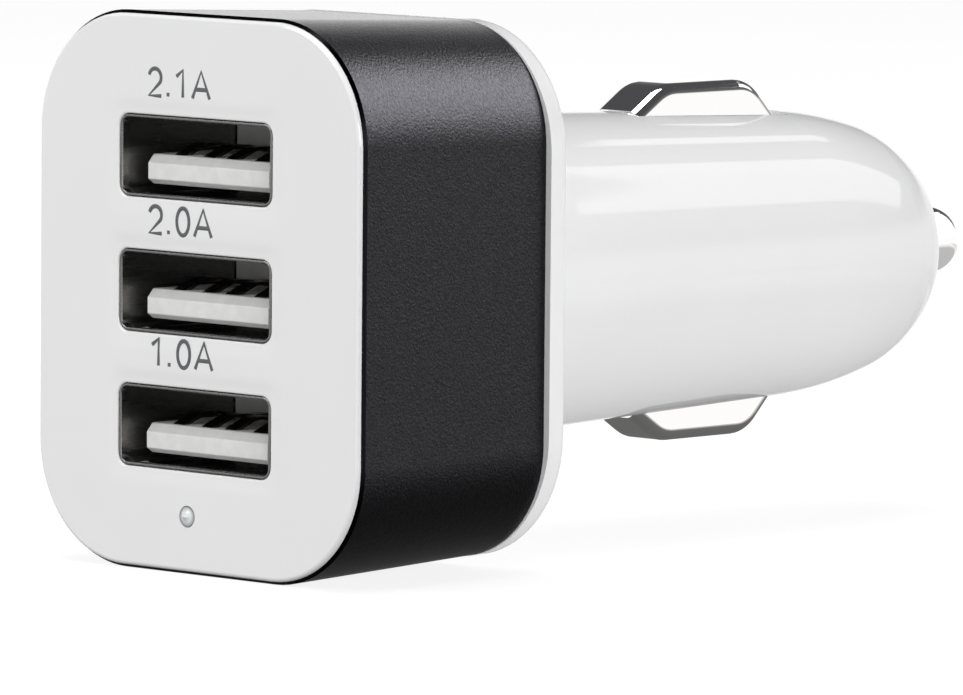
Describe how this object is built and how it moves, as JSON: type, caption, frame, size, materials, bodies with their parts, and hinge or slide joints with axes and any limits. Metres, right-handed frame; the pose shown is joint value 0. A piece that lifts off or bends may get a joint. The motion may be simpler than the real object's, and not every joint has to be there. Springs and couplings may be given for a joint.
{
  "type": "car usb charger plug",
  "caption": "Charger plug for a vehicle lighter socket: rounded block head with stacked charging ports, tapering barrel, sprung ground contacts and a sprung centre tip.",
  "frame": {"origin": "on the barrel's axis, at the rear face of the flange, where the plug meets the socket", "axes": "+Y along the barrel towards the centre contact; the ports face -Y and stack along +Z, with each tongue in the lower half of its port"},
  "size_m": [0.0284, 0.0696, 0.0344],
  "materials": {
    "white_gloss_plastic": "glossy white moulding",
    "black_anodised_aluminium": "fine blasted grain, black anodised",
    "clear_plastic": "clear polished",
    "diode_resin": "cast resin",
    "circuit_board": "green solder mask",
    "ferrite": "sintered ferrite",
    "can_aluminium": "drawn can",
    "chip_resin": "moulded resin",
    "nickel_plate": "bright nickel plate on steel",
    "spring_steel": "plain spring steel",
    "brass": "turned brass",
    "white_insulator": "moulded white insulator",
    "gold_contact": "gold plate"
  },
  "bodies": {
    "body": {"front_cover": "white_gloss_plastic", "head_sleeve": "black_anodised_aluminium", "rear_housing": "white_gloss_plastic", "indicator_lens": "clear_plastic", "indicator_diode": "diode_resin", "port_board": "circuit_board", "main_board": "circuit_board", "power_inductor": "ferrite", "input_capacitor": "can_aluminium", "output_capacitor": "can_aluminium", "converter_chip": "chip_resin", "rectifier_diode": "chip_resin", "chip_parts": "chip_resin", "upper_ground_spring": "spring_steel", "lower_ground_spring": "spring_steel", "centre_spring": "spring_steel", "spring_seat": "brass", "port_1_shell": "nickel_plate", "port_1_insulator": "white_insulator", "port_1_contacts": "gold_contact", "port_2_shell": "nickel_plate", "port_2_insulator": "white_insulator", "port_2_contacts": "gold_contact", "port_3_shell": "nickel_plate", "port_3_insulator": "white_insulator", "port_3_contacts": "gold_contact"},
    "upper_contact": {"upper_ground_contact": "nickel_plate"},
    "lower_contact": {"lower_ground_contact": "nickel_plate"},
    "tip": {"centre_contact": "nickel_plate"}
  },
  "joints": [
    {"name": "upper_contact_press", "type": "slide", "parent": "body", "child": "upper_contact", "axis": [0, 0, -1], "range_m": [0, 0.0015], "stiffness_N_per_m": 2000, "springref_m": -0.001, "deforming": ["upper_ground_spring"]},
    {"name": "lower_contact_press", "type": "slide", "parent": "body", "child": "lower_contact", "axis": [0, 0, 1], "range_m": [0, 0.0015], "stiffness_N_per_m": 2000, "springref_m": -0.001, "deforming": ["lower_ground_spring"]},
    {"name": "tip_press", "type": "slide", "parent": "body", "child": "tip", "axis": [0, -1, 0], "range_m": [0, 0.004], "stiffness_N_per_m": 1000, "springref_m": -0.002, "deforming": ["centre_spring"]}
  ]
}
